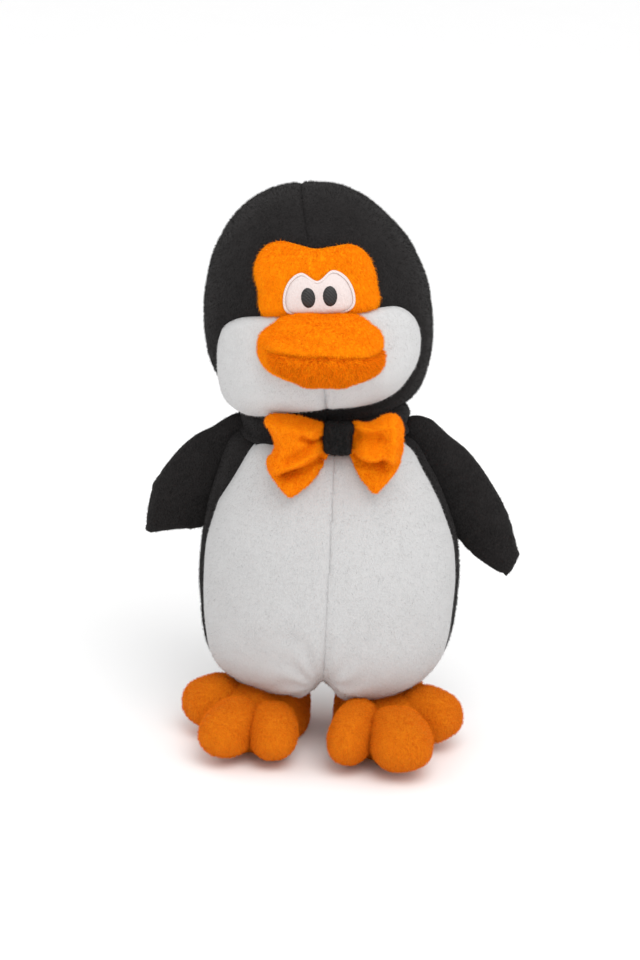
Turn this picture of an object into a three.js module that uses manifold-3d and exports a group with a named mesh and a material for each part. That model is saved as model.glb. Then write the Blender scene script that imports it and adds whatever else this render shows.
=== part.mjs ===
// Plush penguin with a bow tie, standing on its soles: sewn fabric panels over stuffed cores.
// Millimetres, +Z up, facing -Y. The origin is on the ground, in the middle of the toy's outer box.
import * as THREE from "three";
import { mergeVertices } from "three/addons/utils/BufferGeometryUtils.js";
import Module from "manifold-3d";

const wasm = await Module();
wasm.setup();

// Driving dimensions
const CLOTH = 2; // fabric with its pile
const GAP = 0.3; // clearance between sewn neighbours
const JOINT_GAP = 0.8; // clearance between bodies that move on each other
const AROUND = 18; // sides of a large moulded form
const SMALL_AROUND = 12; // sides of a small one

const NECK = new THREE.Vector3(-6, 0, 186); // the point that the head tilts and turns about
const NECK_BALL = 32; // radius of the neck plug about that point
const HEAD_TILT = -6.5; // degrees about Y, the crown leans to -X
const HEAD_TURN = 2.5; // degrees about Z, the face looks a little to +X
const FACE = 44; // height of the face's middle over the neck point

const SHOULDER = { x: 49, z: 155, radius: 13, shift: -2 };
const WING_THICK = 12;
const ARMPIT = 1.6; // how far the wing hangs from the body's side
const WING_SPREAD = { left: -34, right: 32 }; // degrees from hanging straight down
const WING_SWEEP = { left: 15, right: 9 }; // degrees that each wing hangs backwards

const ANKLE = { x: 29, y: -8, z: 31, radius: 18 };
const FOOT_SPLAY = 8; // degrees that each foot points outwards
const SOLE_THICK = 3;
const CENTRE = new THREE.Vector3(-1, 14.3, 0); // brings the middle of the outer box over the origin

const COLOURS = {
  black: 0x2b2928,
  white: 0xdadbde,
  orange: 0xf57f14,
  deepOrange: 0xe8781a,
  felt: 0xf6ecef,
  thread: 0x1d1b1c,
  fill: 0xe9e6df,
};

// Helpers for solids

function welded(geometry) {
  const bare = geometry.clone();
  bare.deleteAttribute("normal");
  bare.deleteAttribute("uv");
  return mergeVertices(bare, 1e-3);
}

function solid(geometry) {
  const closed = welded(geometry);
  const vertProperties = new Float32Array(closed.attributes.position.array);
  const triVerts = new Uint32Array(closed.index.array);
  return new wasm.Manifold(new wasm.Mesh({ numProp: 3, vertProperties, triVerts }));
}

// The same closed surface, moved outwards by a distance, or inwards by a negative one.
function offset(geometry, distance) {
  const moved = welded(geometry);
  moved.computeVertexNormals();
  const { position, normal } = moved.attributes;
  for (let i = 0; i < position.count; i += 1) {
    position.setXYZ(
      i,
      position.getX(i) + distance * normal.getX(i),
      position.getY(i) + distance * normal.getY(i),
      position.getZ(i) + distance * normal.getZ(i),
    );
  }
  return moved;
}

const signedPower = (value, power) => Math.sign(value) * Math.abs(value) ** power;

// A closed form from level rings, top first: [height, half width, front depth, back depth, sideways shift].
function moulded(rings, squareness = 2.15, around = AROUND) {
  const form = new THREE.SphereGeometry(1, around, rings.length - 1);
  const { position } = form.attributes;
  for (let i = 0; i < position.count; i += 1) {
    const [x, up, z] = [position.getX(i), position.getY(i), position.getZ(i)];
    const level = Math.round((Math.acos(THREE.MathUtils.clamp(up, -1, 1)) / Math.PI) * (rings.length - 1));
    const [height, side, front, back, shift = 0] = rings[level];
    const reach = Math.hypot(x, z) || 1;
    const across = signedPower(x / reach, 2 / squareness);
    const deep = signedPower(-z / reach, 2 / squareness);
    position.setXYZ(i, shift + side * across, (deep < 0 ? front : back) * deep, height);
  }
  return form;
}

function ball(radius, x = 0, y = 0, z = 0, around = AROUND) {
  const round = new THREE.SphereGeometry(radius, around, around / 2).rotateX(Math.PI / 2);
  return solid(round.translate(x, y, z));
}

// Points of a smooth closed outline, moved outwards by grow.
function outline(points, grow = 0, steps = 26) {
  const loop = new THREE.CatmullRomCurve3(
    points.map(([x, z]) => new THREE.Vector3(x, z, 0)),
    true,
    "centripetal",
  );
  const ring = loop.getPoints(steps).slice(0, -1);
  const turn = Math.sign(THREE.ShapeUtils.area(ring));
  return ring.map((point, i) => {
    const before = ring[(i + ring.length - 1) % ring.length];
    const after = ring[(i + 1) % ring.length];
    const along = new THREE.Vector2(after.x - before.x, after.y - before.y).normalize();
    return new THREE.Vector2(point.x + turn * grow * along.y, point.y - turn * grow * along.x);
  });
}

// A prism with an outline in X and Z that reaches from y = 0 forwards.
function frontPrism(points, grow = 0, depth = 120) {
  const shape = new THREE.Shape(outline(points, grow));
  return solid(new THREE.ExtrudeGeometry(shape, { depth, bevelEnabled: false }).rotateX(Math.PI / 2));
}

// Everything on one side of the middle plane, less half a seam gap.
function half(side, middle = 0) {
  const size = 400;
  const x = middle + side * (size / 2 + GAP / 2);
  return solid(new THREE.BoxGeometry(size, size, size).translate(x, 0, 0));
}

// Everything above a level (way 1) or below it (way -1).
function beyond(level, way) {
  const size = 400;
  return solid(new THREE.BoxGeometry(size, size, size).translate(0, 0, level + (way * size) / 2));
}

const mirrored = (points) => [...points, ...points.slice().reverse().map(([x, z]) => [-x, z])];

function material(colour, roughness) {
  return new THREE.MeshStandardMaterial({ color: COLOURS[colour], roughness, metalness: 0 });
}

// The largest body of a solid as a named mesh, so that slivers that a cut leaves behind are dropped.
function piece(name, form, colour, roughness = 0.9) {
  const [largest] = form.decompose().sort((a, b) => b.volume() - a.volume());
  const { vertProperties, triVerts } = largest.getMesh();
  const geometry = new THREE.BufferGeometry();
  geometry.setAttribute("position", new THREE.Float32BufferAttribute(vertProperties, 3));
  geometry.setIndex(Array.from(triVerts));
  geometry.computeVertexNormals();
  const mesh = new THREE.Mesh(geometry, material(colour, roughness));
  mesh.name = name;
  return mesh;
}

const radians = THREE.MathUtils.degToRad;
const SIDES = [
  ["left", -1],
  ["right", 1],
];

// Head, in its own frame with the neck point at the origin

const HEAD_RINGS = [
  [107.5, 0, 0, 0, -5],
  [105, 18, 18, 20, -5],
  [98, 31, 31, 34, -4.5],
  [87, 42.5, 42, 45, -3.5],
  [73, 51.5, 50, 51, -2],
  [54, 57, 54, 54, -1.2],
  [38, 58.5, 56, 54, -1],
  [22, 58, 56, 53, -1],
  [9, 54, 51, 50, -1],
  [0, 49.5, 43, 46, -1],
  [-6, 43, 35, 41, -1],
  [-9, 33, 28, 33, -1],
  [-10, 0, 0, 0, -1],
];
const onFace = (points) => points.map(([x, z]) => [x, z + FACE]);
const BROW = onFace([
  [0, 44],
  [9, 44.2],
  [18, 43.6],
  [24.5, 39.5],
  [28.5, 32],
  [29.5, 24],
  [29, 12],
  [0, 6],
  [-30, 12],
  [-31, 24],
  [-32, 34],
  [-29.5, 41],
  [-24.5, 45.8],
  [-17, 47.8],
  [-8, 46],
]);
const CHEEKS = onFace([
  [0, 12],
  [22, 11],
  [31, 11.5],
  [40, 9.5],
  [46, 4.5],
  [50.3, -3.5],
  [51.5, -13],
  [49.8, -22],
  [44.7, -30],
  [36, -38],
  [24, -42],
  [0, -41],
  [-17, -42],
  [-30, -46],
  [-42, -47.5],
  [-51, -41],
  [-55.5, -28],
  [-56, -14],
  [-53.5, -3],
  [-49, 5],
  [-41, 10],
  [-27, 12],
]);
const EYES = mirrored(
  onFace([
    [0, 29],
    [7.5, 33],
    [13.5, 30],
    [17.3, 23],
    [16.8, 15.5],
    [9, 11.5],
  ]),
);
const BEAK_RINGS = [
  [19, 0, 0, 0],
  [17, 15.5, 12, 12],
  [12, 24.5, 23, 20],
  [4.5, 30, 31, 25],
  [-4, 29.5, 31, 25],
  [-12, 25, 27, 20],
  [-16.5, 17, 18, 12],
  [-18.5, 0, 0, 0],
];
const BEAK = { x: -0.5, y: -48, z: FACE - 4.5, mouth: FACE - 1.5, tilt: 4 }; // tilt in degrees about Y
const PUPIL = { x: 5.2, middle: -0.4, z: FACE + 22, halfWidth: 4.1, halfHeight: 4.9 };
const APPLIQUE = 1.2;

function ovalCutter(x, z, halfWidth, halfHeight) {
  const shape = new THREE.Shape().absellipse(x, z, halfWidth, halfHeight, 0, 2 * Math.PI);
  const options = { depth: 120, bevelEnabled: false, curveSegments: 10 };
  return solid(new THREE.ExtrudeGeometry(shape, options).rotateX(Math.PI / 2));
}

function makeHead() {
  const form = moulded(HEAD_RINGS);
  const skin = solid(form).subtract(solid(offset(form, -CLOTH))).subtract(ball(NECK_BALL + GAP));
  const plug = ball(NECK_BALL).subtract(beyond(FACE / 2, 1));
  const layer = (inner, outer) => solid(offset(form, outer)).subtract(solid(offset(form, inner)));
  const hood = skin.subtract(frontPrism(BROW, GAP)).subtract(frontPrism(CHEEKS, GAP));
  const cheeks = skin.intersect(frontPrism(CHEEKS));
  const brow = skin.intersect(frontPrism(BROW)).subtract(frontPrism(CHEEKS, GAP));
  const head = new THREE.Group();
  head.add(piece("head_stuffing", solid(offset(form, -CLOTH - GAP)).add(plug), "fill"));
  head.add(piece("brow_patch", brow, "orange"));
  head.add(piece("eye_patch", layer(GAP, GAP + APPLIQUE).intersect(frontPrism(EYES)), "felt"));
  for (const [name, side] of SIDES) {
    head.add(piece(`hood_${name}`, hood.intersect(half(side)), "black"));
    head.add(piece(`cheek_${name}`, cheeks.intersect(half(side)), "white"));
    const oval = ovalCutter(PUPIL.middle + side * PUPIL.x, PUPIL.z, PUPIL.halfWidth, PUPIL.halfHeight);
    const thread = layer(2 * GAP + APPLIQUE, 2 * GAP + 2 * APPLIQUE);
    head.add(piece(`pupil_${name}`, thread.intersect(oval), "thread", 0.6));
  }
  const bills = moulded(BEAK_RINGS, 2.3).rotateY(radians(BEAK.tilt));
  const beak = solid(bills.translate(BEAK.x, BEAK.y, BEAK.z));
  const bill = beak.subtract(solid(offset(form, 2 * GAP + APPLIQUE)));
  head.add(piece("beak_upper", bill.intersect(beyond(BEAK.mouth + GAP / 2, 1)), "orange"));
  head.add(piece("beak_lower", bill.intersect(beyond(BEAK.mouth - GAP / 2, -1)), "orange"));
  head.position.copy(NECK);
  head.rotation.set(0, radians(HEAD_TILT), radians(HEAD_TURN), "YZX");
  return head;
}

// Body

const BODY_RINGS = [
  [169.2, 0, 0, 0, -6],
  [168.4, 33, 29, 31, -6],
  [165, 43, 37, 38, -6],
  [160, 49, 41, 43, -5.5],
  [151, 53, 43.5, 46, -4.5],
  [140, 57, 46.5, 48, -3],
  [125, 62, 50, 50, -1.5],
  [105, 66.5, 53.5, 51, 0],
  [80, 67.5, 55, 51, 0.5],
  [59, 65, 53.5, 49, 0.5],
  [46, 59, 49, 44, 0],
  [38.5, 50, 42, 36, 0],
  [34.5, 37, 30, 26, 0],
  [33, 0, 0, 0, 0],
];
const SIDE_SEAM = 14; // the belly panels end this far in front of the middle plane
const BELLY = mirrored([
  [0, 166],
  [18, 168],
  [36, 169],
  [43, 163.5],
  [49, 153],
  [54, 142],
  [59.5, 131],
  [64, 119],
  [68, 98],
  [69, 70],
  [66, 52],
  [58, 40],
  [38, 33],
  [0, 32],
]);
const COLLAR = [
  [-12, 0, 0, 0],
  [-12.2, 34, 30.5, 32],
  [-13.8, 39, 34, 36],
  [-15, 40, 35, 37],
  [-15.2, 0, 0, 0],
];
const KNOT = { x: 1.5, y: -46, z: 174.5, width: 15, height: 17, depth: 9 };

// A wing root's round end, across the whole wing, grown by a clearance.
function shoulderDisc(name, side, grow = 0) {
  const radius = SHOULDER.radius + grow;
  const disc = new THREE.CylinderGeometry(radius, radius, WING_THICK + 2 * grow, AROUND);
  return disc.rotateX(radians(WING_SWEEP[name])).translate(side * SHOULDER.x + SHOULDER.shift, 0, SHOULDER.z);
}

function ankleBall(side, grow = 0) {
  return ball(ANKLE.radius + grow, side * ANKLE.x, ANKLE.y, ANKLE.z, SMALL_AROUND);
}

function makeBody() {
  const form = moulded(BODY_RINGS);
  const seat = ball(NECK_BALL + JOINT_GAP, NECK.x, NECK.y, NECK.z);
  const sockets = SIDES.map(([name, side]) => solid(shoulderDisc(name, side, JOINT_GAP)));
  const openings = seat.add(sockets[0]).add(sockets[1]);
  const skin = solid(form).subtract(solid(offset(form, -CLOTH))).subtract(openings);
  const belly = skin.intersect(frontPrism(BELLY).translate(0, -SIDE_SEAM, 0));
  const back = skin.subtract(frontPrism(BELLY, GAP).translate(0, GAP - SIDE_SEAM, 0));
  const body = new THREE.Group();
  body.add(piece("body_stuffing", solid(offset(form, -CLOTH - GAP)).subtract(openings), "fill"));
  for (const [name, side] of SIDES) {
    body.add(piece(`belly_${name}`, belly.intersect(half(side)), "white"));
    body.add(piece(`back_${name}`, back.intersect(half(side)), "black"));
    const leg = ankleBall(side).subtract(solid(offset(form, GAP)));
    body.add(piece(`leg_${name}`, leg, "white"));
  }
  body.add(piece("bow_knot", makeKnot(), "black"));
  return body;
}

function makeCollar() {
  const collar = piece("neck_collar", solid(moulded(COLLAR)).subtract(ball(NECK_BALL + JOINT_GAP)), "black");
  collar.position.copy(NECK);
  collar.rotation.y = radians(HEAD_TILT / 2);
  return collar;
}

// Bow tie

// Outlines of the two loops as they hang, outwards from the knot and up
const BOW_LOOPS = {
  left: [
    [0, -5],
    [4, -15],
    [9.5, -26.5],
    [13.8, -31],
    [17.5, -30],
    [22.4, -24],
    [26.2, -18],
    [24.8, -8],
    [25, 0],
    [28.4, 7],
    [27.5, 10],
    [14, 7.5],
    [0, 5],
  ],
  right: [
    [0, -6],
    [2.5, -16],
    [8, -24.5],
    [11.5, -26],
    [17.8, -21],
    [22.3, -13],
    [22.6, -2],
    [22.9, 7],
    [21, 12.5],
    [16, 14],
    [8, 9],
    [0, 5],
  ],
};
const BOW = { thick: 7, y: -47.5, clear: 2 };

function makeKnot() {
  const rounded = new THREE.Shape();
  const [w, h, r] = [KNOT.width / 2, KNOT.height / 2, 3];
  rounded.moveTo(-w + r, -h).lineTo(w - r, -h).quadraticCurveTo(w, -h, w, -h + r);
  rounded.lineTo(w, h - r).quadraticCurveTo(w, h, w - r, h);
  rounded.lineTo(-w + r, h).quadraticCurveTo(-w, h, -w, h - r);
  rounded.lineTo(-w, -h + r).quadraticCurveTo(-w, -h, -w + r, -h);
  const options = { depth: KNOT.depth, bevelEnabled: false, curveSegments: 3 };
  const band = new THREE.ExtrudeGeometry(rounded, options).rotateX(Math.PI / 2);
  return solid(band.translate(KNOT.x, KNOT.y + KNOT.depth / 2, KNOT.z));
}

function bowLoop(name, side) {
  const points = outline(BOW_LOOPS[name].map(([x, z]) => [side * x, z]), 0, 18);
  const options = { depth: 3, bevelThickness: 2, bevelSize: 2, bevelOffset: -2, bevelSegments: 1 };
  const loop = new THREE.ExtrudeGeometry(new THREE.Shape(points), options).rotateX(Math.PI / 2);
  loop.translate(KNOT.x + side * (KNOT.width / 2 + BOW.clear), BOW.y + BOW.thick / 2, KNOT.z);
  const chest = solid(offset(moulded(BODY_RINGS), JOINT_GAP));
  return piece(`bow_${name}`, solid(loop).subtract(chest), "orange");
}

// Wings, in a frame with the shoulder point at the origin and the tip hanging down

const WINGS = {
  left: [
    [14.5, 1],
    [18.5, -9],
    [20.3, -19],
    [20.5, -30],
    [20, -41],
    [17.5, -52],
    [13.2, -62],
    [8, -71],
    [3, -74.5],
    [-2, -70.5],
    [-8, -64],
    [-15.5, -57.5],
    [-18, -51],
    [-14.5, -36],
    [-12.5, -16],
    [-13, 0],
    [-9, 9],
    [0, 13],
    [9, 9],
  ],
  right: [
    [14.5, 1],
    [18.5, -10],
    [20, -21],
    [20.5, -35],
    [20.2, -48],
    [18.5, -61],
    [15, -73],
    [10.5, -82],
    [4.5, -85.5],
    [-3, -80],
    [-7, -72],
    [-9.5, -64],
    [-11.5, -50],
    [-12.5, -34],
    [-12.5, -16],
    [-13, 0],
    [-9, 9],
    [0, 13],
    [9, 9],
  ],
};

function wingForm(name, side, thick, grow) {
  const points = outline(WINGS[name].map(([x, z]) => [side * x, z]), grow, 22);
  const round = thick * 0.32;
  const options = {
    depth: thick - 2 * round,
    bevelThickness: round,
    bevelSize: round,
    bevelOffset: -round,
    bevelSegments: 1,
  };
  const form = new THREE.ExtrudeGeometry(new THREE.Shape(points), options).rotateX(Math.PI / 2);
  return solid(form.translate(0, thick / 2 - round, 0));
}

function makeWing(name, side) {
  const wing = new THREE.Group();
  wing.position.set(side * SHOULDER.x + SHOULDER.shift, 0, SHOULDER.z);
  wing.rotation.set(radians(WING_SWEEP[name]), radians(-WING_SPREAD[name]), 0);
  wing.updateMatrix();
  // The body as the wing's own frame sees it, less the socket that the wing's round root turns in.
  const intoWing = wing.matrix.clone().invert();
  const besideBody = (clear) => {
    const body = solid(offset(moulded(BODY_RINGS), clear).applyMatrix4(intoWing));
    const socket = solid(shoulderDisc(name, side, ARMPIT - clear).applyMatrix4(intoWing));
    return body.subtract(socket);
  };
  const inside = (depth) => {
    const shrunk = wingForm(name, side, WING_THICK - 2 * depth, -depth);
    return shrunk.subtract(besideBody(ARMPIT + depth));
  };
  const skin = inside(0).subtract(inside(CLOTH));
  const fill = inside(CLOTH + GAP);
  const front = solid(new THREE.BoxGeometry(200, 100, 300).translate(0, -50 - GAP / 2, 0));
  const rear = solid(new THREE.BoxGeometry(200, 100, 300).translate(0, 50 + GAP / 2, 0));
  wing.add(piece(`wing_${name}_front`, skin.intersect(front), "black"));
  wing.add(piece(`wing_${name}_back`, skin.intersect(rear), "black"));
  wing.add(piece(`wing_${name}_stuffing`, fill, "fill"));
  return wing;
}

// Feet, in a frame on the ground under the ankle, toes to the front

const INSTEP_RINGS = [
  [30, 0, 0, 0],
  [28.5, 17, 22, 15],
  [25, 24, 31, 22],
  [16, 27, 35, 26],
  [4, 27, 35, 27],
  [-2, 23, 31, 23],
  [-3, 0, 0, 0],
];
const INSTEP = { width: 0.9, out: 2.4 }; // share of the rings' width, and how far it sits outwards
// Each toe: degrees outwards, centre from the ankle, lift off the sole, half sizes across, along and up
const TOES = {
  left: {
    middle: { azimuth: 14, reach: 47, lift: 0.5, half: [13.5, 23, 14] },
    inner: { azimuth: -13, reach: 43, lift: 0, half: [13, 22, 13.5] },
    outer: { azimuth: 58, reach: 29, lift: 1, half: [15.5, 17.5, 14] },
  },
  right: {
    middle: { azimuth: 4, reach: 52, lift: 0.5, half: [16.5, 24, 15] },
    inner: { azimuth: -23, reach: 47, lift: 0.5, half: [11.2, 24, 15.5] },
    outer: { azimuth: 50, reach: 31, lift: 1, half: [15.5, 18, 14.5] },
  },
};
const SOLE = [
  [-2, -54],
  [10, -60],
  [20, -56],
  [26, -42],
  [33, -24],
  [37, -8],
  [32, 5],
  [20, 16],
  [2, 21],
  [-14, 16],
  [-21, 0],
  [-23, -26],
  [-22, -46],
  [-13, -57],
];

function toeForm({ azimuth, reach, lift, half: [across, along, up] }, side, grow = 0) {
  const toe = new THREE.SphereGeometry(1, SMALL_AROUND, 8).scale(across + grow, along + grow, up + grow);
  const turn = radians(side * azimuth);
  toe.translate(0, -reach, up + SOLE_THICK - 1 + lift).rotateZ(turn);
  return solid(toe);
}

function ankleSocket(grow) {
  return ball(ANKLE.radius + 1.5 * JOINT_GAP + grow, 0, 0, ANKLE.z, SMALL_AROUND);
}

function makeFoot(name, side) {
  const foot = new THREE.Group();
  const ground = beyond(SOLE_THICK + GAP, 1);
  const instep = moulded(INSTEP_RINGS, 2.15, SMALL_AROUND).scale(INSTEP.width, 1, 1);
  instep.translate(side * INSTEP.out, 0, 0);
  const inside = (depth) => solid(offset(instep, -depth)).subtract(ankleSocket(depth)).intersect(ground);
  foot.add(piece(`foot_${name}_instep`, inside(0).subtract(inside(CLOTH)), "deepOrange"));
  foot.add(piece(`foot_${name}_stuffing`, inside(CLOTH + GAP), "fill"));
  let taken = solid(offset(instep, GAP)).add(ankleSocket(0));
  for (const [toeName, toe] of Object.entries(TOES[name])) {
    const lobe = toeForm(toe, side).subtract(taken).intersect(ground);
    foot.add(piece(`foot_${name}_toe_${toeName}`, lobe, "deepOrange"));
    taken = taken.add(toeForm(toe, side, GAP));
  }
  const shape = new THREE.Shape(outline(SOLE.map(([x, y]) => [side * x, y])));
  const sole = new THREE.ExtrudeGeometry(shape, { depth: SOLE_THICK, bevelEnabled: false });
  foot.add(piece(`foot_${name}_sole`, solid(sole), "deepOrange"));
  foot.position.set(side * ANKLE.x, ANKLE.y, 0);
  foot.rotation.z = radians(side * FOOT_SPLAY);
  return foot;
}

const penguin = new THREE.Group();
penguin.add(makeHead(), makeCollar(), makeBody());
for (const [name, side] of SIDES) {
  penguin.add(bowLoop(name, side), makeWing(name, side), makeFoot(name, side));
}
penguin.position.copy(CENTRE);

export default penguin;
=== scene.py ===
import math

import bpy
import numpy as np
from mathutils import Matrix, Vector, noise

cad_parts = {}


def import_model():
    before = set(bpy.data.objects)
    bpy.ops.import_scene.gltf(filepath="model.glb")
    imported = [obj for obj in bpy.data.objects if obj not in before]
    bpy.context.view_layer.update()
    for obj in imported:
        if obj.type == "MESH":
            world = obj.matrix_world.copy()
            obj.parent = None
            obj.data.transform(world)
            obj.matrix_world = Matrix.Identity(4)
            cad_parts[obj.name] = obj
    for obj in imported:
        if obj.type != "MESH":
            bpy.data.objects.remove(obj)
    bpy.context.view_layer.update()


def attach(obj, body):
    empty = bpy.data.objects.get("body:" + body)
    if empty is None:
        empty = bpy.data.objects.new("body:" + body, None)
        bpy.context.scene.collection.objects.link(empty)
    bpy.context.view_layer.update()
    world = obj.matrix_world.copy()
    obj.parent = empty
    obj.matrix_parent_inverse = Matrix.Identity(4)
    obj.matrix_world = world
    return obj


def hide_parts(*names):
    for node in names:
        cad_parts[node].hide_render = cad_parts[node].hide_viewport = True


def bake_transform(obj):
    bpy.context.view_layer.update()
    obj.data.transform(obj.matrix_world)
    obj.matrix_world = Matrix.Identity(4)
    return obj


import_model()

CENTRE = np.array([-1.0, 14.3, 0.0])
NECK = np.array([-6.0, 0.0, 186.0])
HEAD_TILT = -6.5
HEAD_TURN = 2.5
FACE = 44.0
SIDES = (("left", -1), ("right", 1))
SHOULDER = {"x": 49.0, "z": 155.0, "shift": -2.0}
WING_SPREAD = {"left": -34.0, "right": 32.0}
WING_SWEEP = {"left": 15.0, "right": 9.0}
ANKLE = {"x": 29.0, "y": -8.0}
FOOT_SPLAY = 8.0
KNOT = np.array([1.5, -46.0, 175.0])
ROUNDNESS = 2.15
DOWN = np.array([0, 0, -1.0])
FORWARD = np.array([0, -1.0, 0])
FLOOR_GAP = 0.2
FILL_INSET = 5.0

# Level rings of each form: height, half width, depth in front and behind, and shift sideways
HEAD_RINGS = [
    (107.5, 0, 0, 0, -5), (105, 18, 18, 20, -5), (98, 31, 31, 34, -4.5), (87, 42.5, 42, 45, -3.5),
    (73, 51.5, 50, 51, -2), (54, 57, 54, 54, -1.2), (38, 58.5, 56, 54, -1), (22, 58, 56, 53, -1),
    (9, 54, 51, 50, -1), (0, 49.5, 43, 46, -1),
    (-6, 43, 35, 41, -1), (-9, 33, 28, 33, -1), (-10, 0, 0, 0, -1),
]
BODY_RINGS = [
    (169.2, 0, 0, 0, -6), (168.4, 33, 29, 31, -6), (165, 43, 37, 38, -6), (160, 49, 41, 43, -5.5),
    (151, 53, 43.5, 46, -4.5), (140, 57, 46.5, 48, -3), (125, 62, 50, 50, -1.5), (105, 66.5, 53.5, 51, 0),
    (80, 67.5, 55, 51, 0.5), (59, 65, 53.5, 49, 0.5), (46, 59, 49, 44, 0), (38.5, 50, 42, 36, 0),
    (34.5, 37, 30, 26, 0), (33, 0, 0, 0, 0),
]
BEAK_RINGS = [
    (19, 0, 0, 0), (17, 15.5, 12, 12), (12, 24.5, 23, 20), (4.5, 30, 31, 25), (-4, 29.5, 31, 25),
    (-12, 25, 27, 20), (-16.5, 17, 18, 12), (-18.5, 0, 0, 0),
]
BEAK = {"x": -0.5, "y": -48.0, "z": FACE - 4.5, "mouth": 3.0, "tilt": 4.0}
INSTEP_RINGS = [
    (30, 0, 0, 0), (28.5, 17, 22, 15), (25, 24, 31, 22), (16, 27, 35, 26), (5, 27, 35, 27), (1, 23, 31, 23),
    (0.4, 0, 0, 0),
]
BROW = [
    (0, 44), (9, 44.2), (18, 43.6), (24.5, 39.5), (28.5, 32), (29.5, 24), (29, 12), (0, 6), (-30, 12),
    (-31, 24), (-32, 34), (-29.5, 41), (-24.5, 45.8), (-17, 47.8), (-8, 46),
]
CHEEKS = [
    (0, 12), (22, 11), (31, 11.5), (40, 9.5), (46, 4.5), (50.3, -3.5), (51.5, -13), (49.8, -22), (44.7, -30),
    (36, -38), (24, -42), (0, -41), (-17, -42), (-30, -46), (-42, -47.5), (-51, -41), (-55.5, -28),
    (-56, -14), (-53.5, -3), (-49, 5), (-41, 10), (-27, 12),
]
EYES = [(0, 29), (7.5, 33), (13.2, 30), (16.8, 23), (16.4, 15.5), (9, 11.5)]
EYE_SHIFT = -0.6
PUPIL = {"x": 5.2, "middle": -0.4, "z": 21.6, "half_width": 4.0, "half_height": 5.5}
BELLY = [
    (0, 166), (18, 168), (36, 169), (43, 163.5), (49, 153), (54, 142), (59.5, 131), (64, 119), (68, 98),
    (69, 70), (66, 52), (58, 40), (38, 33), (0, 32),
]
SIDE_SEAM = 14.0
WINGS = {
    "left": [
        (14.5, 1), (18.5, -9), (20.3, -19), (20.5, -30), (20, -41), (17.5, -52), (13.2, -62), (8, -71),
        (3, -74.5), (-2, -70.5), (-8, -64), (-15.5, -57.5), (-18, -51), (-14.5, -36), (-12.5, -16), (-13, 0),
        (-11, 12), (-4, 18.5), (4, 18.5), (10.5, 13),
    ],
    "right": [
        (14.5, 2), (18.5, -10), (20, -21), (20.5, -35), (20.2, -48), (18.5, -61), (15, -73), (10.5, -82),
        (4.5, -85.5), (-3, -80), (-7, -72), (-9.5, -64), (-11.5, -50), (-12.5, -34), (-12.5, -16), (-13, 0),
        (-11, 13), (-4, 20), (4, 20.5), (10.5, 15),
    ],
}
# Each toe: degrees outwards, centre from the ankle, lift off the sole, half sizes across, along and up
TOES = {
    "left": {
        "middle": {"azimuth": 14, "reach": 47, "lift": 0.5, "half": (13.5, 23, 14)},
        "inner": {"azimuth": -13, "reach": 43, "lift": 0, "half": (13, 22, 13.5)},
        "outer": {"azimuth": 58, "reach": 29, "lift": 1, "half": (15.5, 17.5, 14)},
    },
    "right": {
        "middle": {"azimuth": 4, "reach": 52, "lift": 0.5, "half": (16.5, 24, 15)},
        "inner": {"azimuth": -23, "reach": 47, "lift": 0.5, "half": (11.2, 24, 15.5)},
        "outer": {"azimuth": 50, "reach": 31, "lift": 1, "half": (15.5, 18, 14.5)},
    },
}
INSTEP = {"width": 0.9, "out": 2.4}
# The sole seen from above, outwards first
SOLE = [
    (-2, -54), (10, -60), (20, -56), (26, -42), (33, -24), (37, -8), (32, 5), (20, 16), (2, 21), (-14, 16),
    (-21, 0), (-23, -26), (-22, -46), (-13, -57),
]
SOLE_THICK = 3.0
# The visible pad is drawn in from the sole's outline, so that the toes hang over it
SOLE_PAD = {"across": 0.68, "along": 0.74, "out": 2.2, "thick": 3.4}


# Meshes as numpy arrays: vertices, triangles and, for a surface, its outward normals


def unit(vectors):
    return vectors / np.maximum(np.linalg.norm(vectors, axis=1, keepdims=True), 1e-12)


def normals_of(verts, tris):
    a, b, c = verts[tris[:, 0]], verts[tris[:, 1]], verts[tris[:, 2]]
    face = np.cross(b - a, c - a)
    total = np.zeros_like(verts)
    for k in range(3):
        np.add.at(total, tris[:, k], face)
    return unit(total)


def smooth_rows(rings, step):
    """Rows of (height, half width, front, back, shift) along a smooth profile, about step apart."""
    table = np.zeros((len(rings), 5))
    for i, ring in enumerate(rings):
        table[i, : len(ring)] = ring
    flip = np.array([1, -1, -1, -1, 1])
    points = np.vstack([table[1] * flip, table, table[-2] * flip])
    rows = []
    for i in range(1, len(points) - 2):
        p0, p1, p2, p3 = points[i - 1 : i + 3]
        for t in np.linspace(0, 1, 24, endpoint=False):
            rows.append(
                0.5 * (2 * p1 + (p2 - p0) * t + (2 * p0 - 5 * p1 + 4 * p2 - p3) * t**2
                       + (3 * p1 - p0 - 3 * p2 + p3) * t**3)
            )
    rows.append(points[-2])
    rows = np.array(rows)
    reach = np.hypot(np.diff(rows[:, 0]), np.diff(rows[:, 1:4].mean(axis=1)))
    length = np.concatenate([[0], np.cumsum(reach)])
    count = max(8, int(length[-1] / step))
    at = np.linspace(0, length[-1], count)
    return np.stack([np.interp(at, length, rows[:, k]) for k in range(5)], axis=1)


def signed_power(value, power):
    return np.sign(value) * np.abs(value) ** power


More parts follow.
